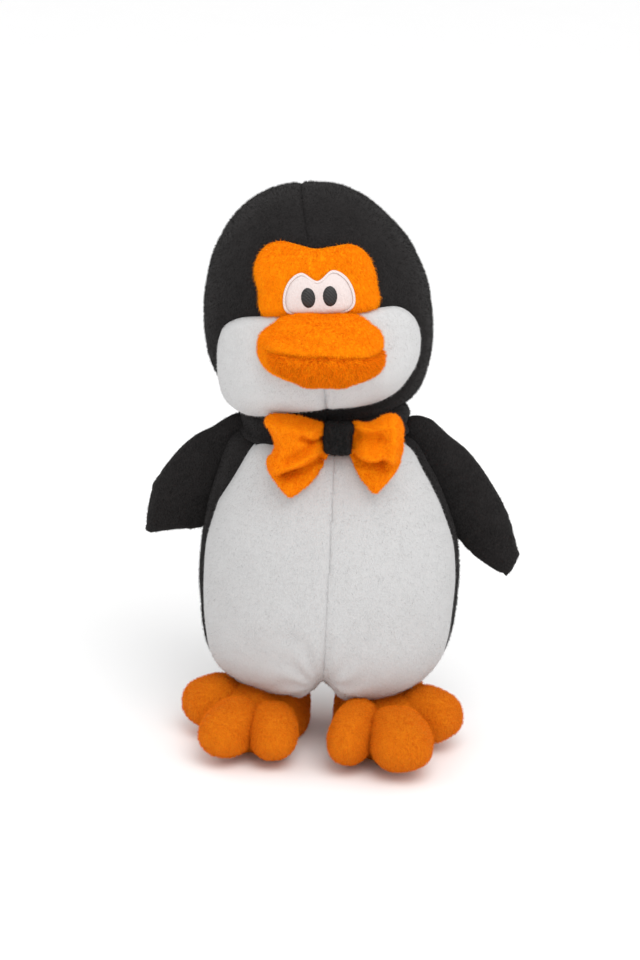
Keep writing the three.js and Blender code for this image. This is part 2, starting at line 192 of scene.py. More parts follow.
def closed_form(rings, squareness=ROUNDNESS, step=1.8):
    """A closed form from level rings: vertices and triangles, facing out."""
    rows = smooth_rows(rings, step)
    widest = rows[:, 1:4].max()
    around = max(24, int(2 * math.pi * widest / step) // 4 * 4)
    angle = 2 * math.pi * np.arange(around) / around
    across = signed_power(np.cos(angle), 2 / squareness)
    deep = signed_power(np.sin(angle), 2 / squareness)
    verts = [[rows[0, 4], 0, rows[0, 0]]]
    for height, side, front, back, shift in rows[1:-1]:
        y = np.where(deep < 0, front, back) * deep
        verts.extend(np.stack([shift + side * across, y, np.full(around, height)], axis=1))
    verts.append([rows[-1, 4], 0, rows[-1, 0]])
    inner = len(rows) - 2
    i = np.arange(around)
    j = (i + 1) % around
    tris = [np.stack([np.zeros(around, int), 1 + i, 1 + j], axis=1)]
    for r in range(inner - 1):
        a = 1 + r * around
        b = a + around
        tris.append(np.stack([a + i, b + i, b + j], axis=1))
        tris.append(np.stack([a + i, b + j, a + j], axis=1))
    last = 1 + inner * around
    a = 1 + (inner - 1) * around
    tris.append(np.stack([a + i, np.full(around, last), a + j], axis=1))
    return np.array(verts, float), np.concatenate(tris)


def smooth_loop(points, steps=14):
    """A smooth closed loop through points, as an array of points."""
    p = np.array(points, float)
    n = len(p)
    out = []
    for i in range(n):
        p0, p1, p2, p3 = p[i - 1], p[i], p[(i + 1) % n], p[(i + 2) % n]
        knots = [0.0]
        for a, b in ((p0, p1), (p1, p2), (p2, p3)):
            knots.append(knots[-1] + max(np.linalg.norm(b - a), 1e-6) ** 0.5)
        t0, t1, t2, t3 = knots
        for t in np.linspace(t1, t2, steps, endpoint=False):
            a1 = (t1 - t) / (t1 - t0) * p0 + (t - t0) / (t1 - t0) * p1
            a2 = (t2 - t) / (t2 - t1) * p1 + (t - t1) / (t2 - t1) * p2
            a3 = (t3 - t) / (t3 - t2) * p2 + (t - t2) / (t3 - t2) * p3
            b1 = (t2 - t) / (t2 - t0) * a1 + (t - t0) / (t2 - t0) * a2
            b2 = (t3 - t) / (t3 - t1) * a2 + (t - t1) / (t3 - t1) * a3
            out.append((t2 - t) / (t2 - t1) * b1 + (t - t1) / (t2 - t1) * b2)
    return np.array(out)


def mirrored(points, rise=0.0):
    right = [(x, z + rise) for x, z in points]
    left = [(-x, z) for x, z in reversed(right) if x != 0]
    return smooth_loop(right + left)


def outline_distance(points, loop):
    """Distance of each (x, z) point from a closed loop, negative inside it."""
    a = loop
    d = np.roll(loop, -1, axis=0) - a
    result = np.empty(len(points))
    for start in range(0, len(points), 8000):
        chunk = points[start : start + 8000]
        rel = chunk[:, None] - a[None]
        t = np.clip((rel * d).sum(-1) / np.maximum((d * d).sum(-1), 1e-12), 0, 1)
        near = np.linalg.norm(rel - t[..., None] * d, axis=-1).min(axis=1)
        end = a + d
        crosses = (a[None, :, 1] > chunk[:, None, 1]) != (end[None, :, 1] > chunk[:, None, 1])
        slope = np.where(np.abs(d[:, 1]) < 1e-12, 1e-12, d[:, 1])
        at = a[None, :, 0] + (chunk[:, None, 1] - a[None, :, 1]) / slope * d[:, 0]
        inside = (crosses & (chunk[:, None, 0] < at)).sum(axis=1) % 2 == 1
        result[start : start + 8000] = np.where(inside, -near, near)
    return result


def cut(verts, tris, field, *extras):
    """The part of a surface where field is below 0, cut cleanly along the line where it is 0.
    Each extra is an array with a row per vertex, cut the same way."""
    inside = field < 0
    count = inside[tris].sum(axis=1)
    crossings = {}

    def crossing(a, b):
        """The number of the new vertex between two old ones."""
        return crossings.setdefault((min(a, b), max(a, b)), len(verts) + len(crossings))

    made = []
    for tri in tris[count == 1]:
        p, q, r = np.roll(tri, -np.argmax(inside[tri]))
        made.append((p, crossing(p, q), crossing(p, r)))
    for tri in tris[count == 2]:
        p, q, r = np.roll(tri, -np.argmin(inside[tri]))
        made += [(crossing(q, p), q, r), (crossing(q, p), r, crossing(r, p))]
    low, high = np.array(list(crossings), int).reshape(-1, 2).T
    t = (field[low] / (field[low] - field[high]))[:, None]
    arrays = [np.concatenate([data, data[low] * (1 - t) + data[high] * t]) for data in (verts, *extras)]
    all_tris = np.concatenate([tris[count == 3], np.array(made, int).reshape(-1, 3)])
    a, b, c = (arrays[0][all_tris[:, k]] for k in range(3))
    all_tris = all_tris[np.linalg.norm(np.cross(b - a, c - a), axis=1) > 1e-9]
    used, tight = np.unique(all_tris, return_inverse=True)
    return (arrays[0][used], tight.reshape(-1, 3), *[data[used] for data in arrays[1:]])


def rim_of(tris):
    """Boundary edges of a surface, in the direction its triangles run."""
    edges = np.concatenate([tris[:, [0, 1]], tris[:, [1, 2]], tris[:, [2, 0]]])
    key = np.sort(edges, axis=1)
    _, first, counts = np.unique(key, axis=0, return_index=True, return_counts=True)
    return edges[first[counts == 1]]


def thickened(verts, tris, normals, thickness):
    """A closed slab: the surface, its inner copy and the rim between them."""
    n = len(verts)
    rim = rim_of(tris)
    sides = np.concatenate([
        np.stack([rim[:, 1], rim[:, 0], rim[:, 0] + n], axis=1),
        np.stack([rim[:, 1], rim[:, 0] + n, rim[:, 1] + n], axis=1),
    ])
    both = np.concatenate([verts, verts - normals * thickness])
    return both, np.concatenate([tris, tris[:, ::-1] + n, sides])


def facing(verts, tris, way):
    """The triangles, turned over if on the whole they face against way."""
    return tris if (normals_of(verts, tris) * way).sum() >= 0 else tris[:, ::-1]


def pillow(middle, half, tris, inside, way):
    """A closed form around a sheet, half thick on each side and joined at its edge: vertices, triangles
    of the face towards way and of the other face, and which of the sheet's vertices lie off its edge."""
    near, far = middle + half[:, None] * way, middle - half[:, None] * way
    tris = facing(near, tris, way)
    off_edge = inside >= 1e-6
    behind = np.where(off_edge, len(inside) + np.cumsum(off_edge) - 1, np.arange(len(inside)))
    return np.concatenate([near, far[off_edge]]), tris, behind[tris][:, ::-1], off_edge


def rounded(inside, thickness, width):
    """Thickness of a sheet with a round edge, by the distance inside it."""
    return thickness * np.sqrt(np.clip(1 - (1 - np.clip(inside / width, 0, 1)) ** 2, 0, 1))


def unevenness(points, size, amount, seed):
    """Smooth random height at each point, about size across."""
    offset = Vector((seed * 17.3, seed * 5.1, seed * 9.7))
    return amount * np.array([noise.noise(Vector(p) / size + offset) for p in points])


def uneven(verts, tris, size, amount, seed):
    """A form with unevenness along its normals."""
    return verts + normals_of(verts, tris) * unevenness(verts, size, amount, seed)[:, None]


def groove(distance, depth, width):
    return -depth * np.exp(-((distance / width) ** 2))


def puff(distance, height, reach):
    """Rise of a stuffed panel, by its distance inside the seam."""
    return height * (1 - np.exp(-np.maximum(distance, 0) / reach))


def blend_step(value, start, end):
    t = np.clip((value - start) / (end - start), 0, 1)
    return t * t * (3 - 2 * t)


# Places

HEAD_PLACE = (
    Matrix.Translation(Vector(NECK))
    @ Matrix.Rotation(math.radians(HEAD_TILT), 4, "Y")
    @ Matrix.Rotation(math.radians(HEAD_TURN), 4, "Z")
)


def wing_place(name, side):
    at = Matrix.Translation((side * SHOULDER["x"] + SHOULDER["shift"], 0, SHOULDER["z"]))
    sweep = Matrix.Rotation(math.radians(WING_SWEEP[name]), 4, "X")
    return at @ sweep @ Matrix.Rotation(math.radians(-WING_SPREAD[name]), 4, "Y")


def foot_place(side):
    at = Matrix.Translation((side * ANKLE["x"], ANKLE["y"], 0))
    return at @ Matrix.Rotation(math.radians(side * FOOT_SPLAY), 4, "Z")


def placed(verts, place):
    m = np.array(place)
    return verts @ m[:3, :3].T + m[:3, 3]


def turned(normals, place):
    return normals @ np.array(place)[:3, :3].T


def world(points):
    return (np.asarray(points, float) + CENTRE) / 1000


# Materials


def node_tree(name):
    material = bpy.data.materials.new(name)
    material.use_nodes = True
    nodes = material.node_tree.nodes
    return material, nodes, material.node_tree.links, nodes["Principled BSDF"]


def give(node, **values):
    """Sets inputs of a node, named with _ for each space."""
    for name, value in values.items():
        node.inputs[name.replace("_", " ")].default_value = value


def noise_node(nodes, links, size, detail=3.0, rough=0.6, stretch=None):
    """Noise with features about size millimetres across, in the piece's own coordinates."""
    place = nodes.new("ShaderNodeTexCoord")
    texture = nodes.new("ShaderNodeTexNoise")
    give(texture, Scale=1000.0 / size, Detail=detail, Roughness=rough)
    source = place.outputs["Object"]
    if stretch is not None:
        mapping = nodes.new("ShaderNodeMapping")
        give(mapping, Scale=stretch)
        links.new(source, mapping.inputs["Vector"])
        source = mapping.outputs["Vector"]
    links.new(source, texture.inputs["Vector"])
    return texture.outputs["Fac"]


def mixed(nodes, links, factor, a, b):
    mix = nodes.new("ShaderNodeMix")
    mix.data_type = "RGBA"
    links.new(factor, mix.inputs["Factor"])
    for socket, value in ((mix.inputs[6], a), (mix.inputs[7], b)):
        if isinstance(value, bpy.types.NodeSocket):
            links.new(value, socket)
        else:
            socket.default_value = (*value, 1)
    return mix.outputs[2]


def ramped(nodes, links, source, low, high):
    ramp = nodes.new("ShaderNodeMapRange")
    give(ramp, From_Min=low, From_Max=high)
    links.new(source, ramp.inputs["Value"])
    return ramp.outputs["Result"]


def bump_node(nodes, links, height, strength, distance, under=None):
    """A bump from a height, distance metres high, on top of the bump under it."""
    bump = nodes.new("ShaderNodeBump")
    give(bump, Strength=strength, Distance=distance)
    links.new(height, bump.inputs["Height"])
    if under is not None:
        links.new(under, bump.inputs["Normal"])
    return bump.outputs["Normal"]


def pile_material(name, dark, middle, light, grain=0.7, bump=0.35, sheen=0.3, patch=16.0, tint=None):
    """Pile fabric: brushed patches, a fine grain of fibre tips, soft sheen."""
    material, nodes, links, shader = node_tree(name)
    patches = ramped(nodes, links, noise_node(nodes, links, patch, 2.0, 0.5), 0.36, 0.64)
    fine = ramped(nodes, links, noise_node(nodes, links, grain, 2.0, 0.7, (1.0, 1.0, 0.55)), 0.3, 0.7)
    tone = mixed(nodes, links, patches, dark, middle)
    links.new(mixed(nodes, links, fine, tone, light), shader.inputs["Base Color"])
    give(shader, Roughness=0.92, Specular_IOR_Level=0.08, Sheen_Weight=sheen, Sheen_Roughness=0.45,
         Sheen_Tint=(*(tint or light), 1))
    links.new(bump_node(nodes, links, fine, bump, 0.0008), shader.inputs["Normal"])
    return material


def fibre_material(name, colour, sheen):
    """One tone of a pile's own fibres."""
    material, _, _, shader = node_tree(name)
    give(shader, Base_Color=(*colour, 1), Roughness=0.8, Specular_IOR_Level=0.08, Sheen_Weight=sheen,
         Sheen_Tint=(*colour, 1))
    return material


def thread_material(name, dark, light, pitch):
    """Satin stitch: close parallel threads, pitch millimetres apart, with a soft gloss."""
    material, nodes, links, shader = node_tree(name)
    place = nodes.new("ShaderNodeTexCoord")
    wave = nodes.new("ShaderNodeTexWave")
    wave.bands_direction = "DIAGONAL"
    give(wave, Scale=1000.0 / pitch / 6.28, Distortion=1.5)
    links.new(place.outputs["Object"], wave.inputs["Vector"])
    fine = noise_node(nodes, links, 0.5)
    links.new(mixed(nodes, links, wave.outputs["Fac"], dark, light), shader.inputs["Base Color"])
    give(shader, Roughness=0.5)
    threads = bump_node(nodes, links, wave.outputs["Fac"], 0.5, 0.0002)
    links.new(bump_node(nodes, links, fine, 0.2, 0.0002, threads), shader.inputs["Normal"])
    return material


def tones(name, colour, spread, sheen=0.0):
    """Four fibre materials around a colour, from darker to lighter."""
    made = []
    for i in range(4):
        share = 1 + spread * (2 * i / 3 - 1)
        made.append(fibre_material(f"{name}_fibre_{i}", tuple(min(1.0, c * share) for c in colour), sheen))
    return made


BLACK_TINT = (0.35, 0.34, 0.34)
BLACK = pile_material("black_velboa", (0.008, 0.0075, 0.0075), (0.013, 0.012, 0.012), (0.024, 0.022, 0.022),
                      sheen=0.10, bump=0.4, tint=BLACK_TINT)
BLACK_FLEECE = pile_material("black_fleece", (0.006, 0.006, 0.006), (0.01, 0.0095, 0.0095),
                             (0.02, 0.019, 0.019), grain=1.1, sheen=0.08, bump=0.6, patch=6.0,
                             tint=BLACK_TINT)
WHITE = pile_material("white_velboa", (0.51, 0.507, 0.507), (0.54, 0.537, 0.537), (0.58, 0.577, 0.577),
                      sheen=0.05, bump=0.3, patch=22.0)
# Cheeks: the same white pile made lighter, painted light on the cheeks
LIT_CHEEK_WHITE = pile_material("white_velboa_painted_light", (0.55, 0.547, 0.547), (0.58, 0.577, 0.577),
                            (0.62, 0.617, 0.617), sheen=0.05, bump=0.3, patch=22.0)
ORANGE = pile_material("orange_long_pile", (0.86, 0.20, 0.001), (0.94, 0.27, 0.001), (1.0, 0.34, 0.002),
                       grain=1.2, sheen=0.1, bump=0.8, patch=11.0)
# Lower bill: a curly pile, its orange darker than the upper bill's as painted shade of a bill lit from above
SHADED_BILL_ORANGE = pile_material("orange_curly_pile_painted_shade", (0.72, 0.17, 0.001), (0.84, 0.22, 0.001), (0.94, 0.3, 0.002),
                            grain=1.6, sheen=0.05, bump=0.9, patch=4.0)
FOOT_ORANGE = pile_material("orange_short_pile", (0.58, 0.12, 0.003), (0.65, 0.155, 0.004),
                            (0.73, 0.20, 0.006), grain=0.9, sheen=0.1, bump=0.6, patch=13.0)
BOW_ORANGE = pile_material("orange_fleece", (0.84, 0.19, 0.001), (0.90, 0.23, 0.001), (0.96, 0.28, 0.002),
                           grain=0.8, sheen=0.05, bump=0.5, patch=9.0)
FELT = pile_material("white_felt", (0.66, 0.57, 0.55), (0.71, 0.61, 0.59), (0.75, 0.66, 0.64),
                     grain=0.8, sheen=0.0, bump=0.3, patch=5.0)
FILL = pile_material("fibre_fill", (0.62, 0.60, 0.56), (0.72, 0.70, 0.66), (0.80, 0.78, 0.74),
                     grain=2.5, bump=0.8)
WHITE_THREAD = thread_material("white_thread", (0.66, 0.57, 0.55), (0.76, 0.67, 0.65), 0.45)
BLACK_THREAD = thread_material("black_thread", (0.006, 0.005, 0.005), (0.02, 0.016, 0.016), 0.5)

BLACK_FIBRES = tones("black", (0.0125, 0.0115, 0.011), 0.45, sheen=0.12)
WHITE_FIBRES = tones("white", (0.55, 0.547, 0.547), 0.05)
# Lighter white fibres for the cheeks: painted light
LIT_CHEEK_FIBRES = tones("cheek", (0.60, 0.597, 0.597), 0.05)
ORANGE_FIBRES = tones("orange", (0.97, 0.30, 0.001), 0.09)
# The lower bill's fibres are darker than the upper bill's: painted shade
SHADED_BILL_FIBRES = tones("bill", (0.86, 0.235, 0.001), 0.20)
FOOT_FIBRES = tones("foot", (0.73, 0.18, 0.005), 0.15)
BOW_FIBRES = tones("bow", (0.88, 0.235, 0.001), 0.12)

# Objects


def added(name, data):
    """A new object in the scene."""
    obj = bpy.data.objects.new(name, data)
    bpy.context.scene.collection.objects.link(obj)
    return obj


def mesh_object(name, verts, tris, materials, smooth=True):
    """A new object from millimetre vertices, handed over in metres."""
    mesh = bpy.data.meshes.new(name)
    mesh.vertices.add(len(verts))
    mesh.vertices.foreach_set("co", world(verts).astype(np.float32).ravel())
    mesh.loops.add(3 * len(tris))
    mesh.loops.foreach_set("vertex_index", np.asarray(tris, np.int32).ravel())
    mesh.polygons.add(len(tris))
    mesh.polygons.foreach_set("loop_start", np.arange(0, 3 * len(tris), 3, dtype=np.int32))
    mesh.polygons.foreach_set("loop_total", np.full(len(tris), 3, np.int32))
    mesh.update(calc_edges=True)
    mesh.polygons.foreach_set("use_smooth", np.full(len(tris), smooth))
    for material in materials:
        mesh.materials.append(material)
    return added(name, mesh)


def hand_over(obj, body, blend, replaces=()):
    """Parents a piece to its body, or bakes it in place when it has a blend, and hides the parts it stands
    for.
    """
    if blend:
        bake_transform(obj)
    else:
        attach(obj, body)
    if replaces:
        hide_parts(*replaces)


def nap(materials, density, length, width, seed, lean=0.6):
    """How a pile stands: fibres per square millimetre, their length and width, and their lean in radians."""
    return {"materials": materials, "density": density, "length": length, "width": width, "seed": seed,
            "lean": lean}


# Where the three root corners of a fibre stand around it, in radians
FIBRE_CORNERS = (0, 2.094, 4.189)


def add_fibres(name, verts, tris, body, cloth, blend, materials, density, length, width, seed, lean,
               bare=None):
    """Real fibres on a surface: slim closed spikes that lean down. bare marks triangles with none."""
    rng = np.random.default_rng(seed)
    vertex_normals = normals_of(verts, tris)
    if bare is not None:
        tris = tris[~bare]
    a, b, c = verts[tris[:, 0]], verts[tris[:, 1]], verts[tris[:, 2]]
    face = np.cross(b - a, c - a)
    area = np.linalg.norm(face, axis=1) / 2
    count = int(area.sum() * density)
    chosen = np.searchsorted(np.cumsum(area) / area.sum(), rng.random(count))
    chosen = np.minimum(chosen, len(tris) - 1)
    u, v = rng.random(count), rng.random(count)
    flip = u + v > 1
    u[flip], v[flip] = 1 - u[flip], 1 - v[flip]
    shares = np.stack([1 - u - v, u, v])[..., None]
    root = (verts[tris[chosen].T] * shares).sum(axis=0)
    normal = unit((vertex_normals[tris[chosen].T] * shares).sum(axis=0))
    down = DOWN - normal * (normal @ DOWN)[:, None]
    lay = down + rng.normal(0, 0.45, (count, 3))
    lay -= normal * (lay * normal).sum(axis=1)[:, None]
    reach = length * rng.uniform(0.6, 1.15, count)[:, None]
    tip = root + normal * reach * math.cos(lean) + lay * reach * math.sin(lean)
    tip[:, 2] = np.maximum(tip[:, 2], FLOOR_GAP / 2)
    side = unit(np.cross(normal, rng.normal(size=(count, 3))))
    other = np.cross(normal, side)
    foot = root - normal * 0.3
    foot[:, 2] = np.maximum(foot[:, 2], FLOOR_GAP)
    corners = [foot + width / 2 * (side * math.cos(t) + other * math.sin(t)) for t in FIBRE_CORNERS]
    points = np.stack([*corners, tip], axis=1).reshape(-1, 3)
    base = 4 * np.arange(count)[:, None]
    faces = np.concatenate([base + np.array(f) for f in ((0, 1, 3), (1, 2, 3), (2, 0, 3), (0, 2, 1))], axis=1)
    faces = faces.reshape(-1, 3)
    obj = mesh_object(name, points, faces, materials, smooth=False)
    obj.data.polygons.foreach_set("material_index", np.repeat(rng.integers(0, len(materials), count), 4))
    hand_over(obj, body, blend)


def panel(name, verts, tris, normals, body, material, replaces, nap, thickness=1.6, blend=None):
    """A sewn fabric panel over its stuffing, with its own fibres."""
    obj = mesh_object(name, *thickened(verts, tris, normals, thickness), [material])
    hand_over(obj, body, blend, replaces)
    add_fibres(f"{name}_nap", verts, tris, body, material, blend, **nap)


def solid_piece(name, verts, tris, body, material, replaces=(), fill=None, nap=None, blend=None):
    """A closed piece, with fibres if it has a nap."""
    hand_over(mesh_object(name, verts, tris, [material]), body, blend, replaces)
    if nap:
        add_fibres(f"{name}_nap", verts, tris, body, material, blend, **nap)


# Head

BROW_LOOP = smooth_loop([(x, z + FACE) for x, z in BROW])
CHEEK_LOOP = smooth_loop([(x, z + FACE) for x, z in CHEEKS])
HEAD_ROWS = smooth_rows(HEAD_RINGS, 1.0)[::-1]
EYE_LOOP = mirrored(EYES, FACE) + np.array([EYE_SHIFT, 0])


def seam_side(v):
    """How far each point is to the right of the head's middle seam, which leans with the crown."""
    return v[:, 0] - np.interp(v[:, 2], HEAD_ROWS[:, 0], HEAD_ROWS[:, 4])


def head_fields(v):
    """Distances from the cheek seam, the brow seam and the middle seam, negative inside a panel."""
    flat = v[:, [0, 2]]
    cheek = np.maximum(outline_distance(flat, CHEEK_LOOP), v[:, 1])
    brow = np.maximum(outline_distance(flat, BROW_LOOP), v[:, 1])
    return cheek, brow, seam_side(v)


def head_rise(v):
    """How far the sewn head stands out from its plain form."""
    cheek, brow, middle = head_fields(v)
    rise = groove(cheek, depth=1.9, width=2.0) + puff(-cheek, height=2.4, reach=7.0)
    off_cheek = blend_step(cheek, -1, 2)
    rise += off_cheek * (groove(brow, depth=1.3, width=2.0) + puff(-brow, height=1.4, reach=5.0))
    hood = blend_step(np.minimum(cheek, brow), 0, 3)
    rise += hood * groove(middle, depth=0.4 + 0.9 * blend_step(v[:, 2], 88, 104), width=1.3)
    chin = blend_step(-cheek, 0, 3) * blend_step(FACE - 22 - v[:, 2], 0, 8)
    rise += chin * groove(middle, depth=1.6, width=1.6)
    jowl = np.exp(-(((v[:, 0] + 47) / 16) ** 2 + ((v[:, 2] - 12) / 14) ** 2)) * blend_step(-cheek, 0, 4)
    rise += 2.2 * jowl
    return rise + unevenness(v, 34.0, 1.3, 3) + unevenness(v, 13.0, 0.35, 4)


def make_head():
    verts, tris = closed_form(HEAD_RINGS)
    normals = normals_of(verts, tris)
    fill = placed(verts - normals * FILL_INSET, HEAD_PLACE)
    solid_piece("head_fill", fill, tris, "head", FILL, ["head_stuffing"], fill=0.9)
    cheek, brow, _ = head_fields(verts)
    cheeks = cut(verts, tris, cheek, normals)
    rest = cut(verts, tris, -cheek, normals)
    brow_rest = head_fields(rest[0])[1]
    brow_part = cut(rest[0], rest[1], brow_rest, rest[2])
    hood = cut(rest[0], rest[1], -brow_rest, rest[2])
    black_nap = nap(BLACK_FIBRES, 0.9, 1.3, 0.22, 11)
    white_nap = nap(LIT_CHEEK_FIBRES, 0.9, 1.1, 0.2, 12)
    brow_nap = nap(ORANGE_FIBRES, 4.5, 2.1, 0.30, 13, 0.95)

    def head_panel(part, name, material, pile, node):
        """Raises a part of the head's form, and leaves it bare of fibres under the eye patch."""
        v, t, n = part
        n = unit(n)
        raised = v + n * head_rise(v)[:, None]
        middles = v[t].mean(axis=1)
        bare = (outline_distance(middles[:, [0, 2]], EYE_LOOP) < 0.8) & (middles[:, 1] < 0)
        panel(name, placed(raised, HEAD_PLACE), t, turned(n, HEAD_PLACE), "head", material, [node],
              {**pile, "bare": bare})

    head_panel(brow_part, "brow", ORANGE, brow_nap, "brow_patch")
    for name, side in SIDES:
        half = cut(hood[0], hood[1], -side * seam_side(hood[0]), hood[2])
        head_panel(half, f"hood_panel_{name}", BLACK, black_nap, f"hood_{name}")
        half = cut(cheeks[0], cheeks[1], -side * seam_side(cheeks[0]), cheeks[2])
        # The cheek panels get the lighter white, which is painted light
        head_panel(half, f"cheek_panel_{name}", LIT_CHEEK_WHITE, white_nap, f"cheek_{name}")


def head_front(x, z, out):
    """Points on the front of the sewn head at (x, z), moved out along its normal."""

    def plain(px, pz):
        """Depth of the plain head form at (px, pz)."""
        side, front, shift = (np.interp(pz, HEAD_ROWS[:, 0], HEAD_ROWS[:, k]) for k in (1, 2, 4))
        share = np.clip(1 - np.abs((px - shift) / side) ** ROUNDNESS, 1e-6, 1)
        return -front * share ** (1 / ROUNDNESS)

    y = plain(x, z)
    along_x = plain(x + 0.5, z) - plain(x - 0.5, z)
    along_z = plain(x, z + 0.5) - plain(x, z - 0.5)
    normal = unit(np.stack([along_x, -np.ones_like(y), along_z], axis=1))
    base = np.stack([x, y, z], axis=1)
    return base + normal * (head_rise(base) + out)[:, None], normal


def applique(name, loop, centre, out, dome, material, replaces, stitch=0.0, rings=14):
    """A flat patch with an outline, lying on the head, thicker in the middle by dome."""
    n = len(loop)
    shares = np.linspace(0, 1, rings + 1)[1:]
    x, z, rise = [centre[0]], [centre[1]], [out + dome]
    for share in shares:
        ring = centre + (loop - centre) * share
        edge = math.sqrt(max(0.0, 1 - share**6))
        x.extend(ring[:, 0])
        z.extend(ring[:, 1])
        rise.extend(np.full(n, out * edge + dome * (1 - share**2)))
    x, z = np.array(x), np.array(z)
    rise = np.array(rise) + stitch * np.sin(2 * math.pi * (z + 0.35 * x) / 0.8)
    top, normal = head_front(x, z, rise)
    tris = [[0, 1 + (i + 1) % n, 1 + i] for i in range(n)]
    for r in range(rings - 1):
        a, b = 1 + r * n, 1 + (r + 1) * n
        for i in range(n):
            j = (i + 1) % n
            tris += [[a + i, a + j, b + j], [a + i, b + j, b + i]]
    tris = facing(top, np.array(tris), normal)
    slab = thickened(placed(top, HEAD_PLACE), tris, turned(normal, HEAD_PLACE), out + 1.0)
    solid_piece(name, *slab, "head", material, replaces, fill=0.3)


def satin_border(name, loop, centre, out, half_width, height, material):
    """A raised satin-stitched border along an outline."""
    sections = np.diff(np.vstack([loop, loop[:1]]), axis=0)
    length = np.concatenate([[0], np.cumsum(np.linalg.norm(sections, axis=1))])
    count = int(length[-1] / 0.22)
    at = np.linspace(0, length[-1], count, endpoint=False)
    ring = np.stack([np.interp(at, length, np.append(loop[:, k], loop[0, k])) for k in (0, 1)], axis=1)
    along = unit(np.roll(ring, -1, axis=0) - np.roll(ring, 1, axis=0))
    inward = np.stack([-along[:, 1], along[:, 0]], axis=1)
    if ((centre - ring) * inward).sum() < 0:
        inward = -inward
    ridge = 1 + 0.10 * np.sin(2 * math.pi * at / 0.75)
    rows = []
    sides = 10
    for k in range(sides):
        t = 2 * math.pi * k / sides
        flat = ring + inward * (half_width * 0.75 + half_width * math.cos(t) * ridge[:, None])
        rise = out + height * math.sin(t) * ridge
        rows.append(head_front(flat[:, 0], flat[:, 1], rise)[0])
    verts = np.stack(rows, axis=1).reshape(-1, 3)
    tris = []
    for i in range(count):
        j = (i + 1) % count
        for k in range(sides):
            m = (k + 1) % sides
            a, b, c, d = i * sides + k, j * sides + k, j * sides + m, i * sides + m
            tris += [[a, b, c], [a, c, d]]
    tris = np.array(tris)
    a, b, c = (verts[tris[:, k]] for k in range(3))
    if (a * np.cross(b, c)).sum() < 0:
        tris = tris[:, ::-1]
    solid_piece(name, placed(verts, HEAD_PLACE), tris, "head", material)


def make_eyes():
    """A felt patch with a stitched border, and two stitched pupils."""
    centre = np.array([0.0, 22.0 + FACE])
    applique("eye_white", EYE_LOOP, centre, 1.3, 0.5, FELT, ["eye_patch"])
    satin_border("eye_border", EYE_LOOP, centre, 1.3, 0.6, 0.18, WHITE_THREAD)
    angle = np.linspace(0, 2 * math.pi, 56, endpoint=False)
    for name, side in SIDES:
        middle = np.array([PUPIL["middle"] + side * PUPIL["x"], FACE + PUPIL["z"]])
        oval = np.stack([PUPIL["half_width"] * np.cos(angle), PUPIL["half_height"] * np.sin(angle)], axis=1)
        applique(f"pupil_stitch_{name}", middle + oval, middle, 2.0, 0.7, BLACK_THREAD,
                 [f"pupil_{name}"], stitch=0.08, rings=16)


def make_beak():
    """Two bills meeting in a stitched crease; the upper one wraps down outside the lower one's left end."""
    verts, tris = closed_form(BEAK_RINGS, 2.3, 1.2)
    normals = normals_of(verts, tris)

    def lower_field(v):
        """Distance from the crease, negative inside the lower bill."""
        line = BEAK["mouth"] - 0.05 * v[:, 0] - 3.0 * (v[:, 0] / 30) ** 2
        wrap = -27.5 + 0.045 * np.maximum(BEAK["mouth"] - v[:, 2], 0) ** 2
        return np.maximum(v[:, 2] - line, 0.8 * (wrap - v[:, 0]))

    x, y, z = verts.T
    front = blend_step(-y, -12, 4)
    gap = lower_field(verts)
    crease = groove(gap, depth=1.5, width=0.8)
    rise = front * (crease + puff(-gap, height=1.5, reach=2.4) + puff(gap, height=0.2, reach=3.0))
    dimple = np.hypot((x + 18.5) / 6.5, (z - BEAK["mouth"] - 8.5 - 0.25 * (x + 18.5)) / 2.0)
    rise -= front * 2.2 * np.exp(-(dimple**2))
    for corner_x, corner_z, bulge in ((-27, -5, 2.6), (24, -9, 1.8)):
        rise += bulge * np.exp(-(((x - corner_x) / 7) ** 2 + ((z - corner_z) / 6) ** 2))
    rise += unevenness(verts, 12.0, 1.2, 7) + unevenness(verts, 5.0, 0.4, 8)
    shaped = verts + normals * rise[:, None]
    shaped[:, 2] += 2.0 * blend_step(-z, 4, 14)
    tilt = Matrix.Rotation(math.radians(BEAK["tilt"]), 4, "Y")
    place = HEAD_PLACE @ Matrix.Translation((BEAK["x"], BEAK["y"], BEAK["z"])) @ tilt
    for name, way, material, pile in (
        ("upper", -1, ORANGE, nap(ORANGE_FIBRES, 5.0, 1.9, 0.30, 20, 0.95)),
        # The lower bill's darker orange and fibres are painted shade
        ("lower", 1, SHADED_BILL_ORANGE, nap(SHADED_BILL_FIBRES, 5.0, 2.2, 0.36, 22, 0.55)),
    ):
        v, t, n = cut(shaped, tris, way * gap, normals)
        n = unit(n)
        panel(f"bill_{name}", placed(v, place), t, turned(n, place), "head", material,
              [f"beak_{name}"], pile)


# Body

BELLY_LOOP = mirrored(BELLY)


def body_fields(v):
    """Distance from the belly seam, negative inside the belly, and from the middle plane."""
    belly = np.maximum(outline_distance(v[:, [0, 2]], BELLY_LOOP), v[:, 1] + SIDE_SEAM)
    return belly, v[:, 0]


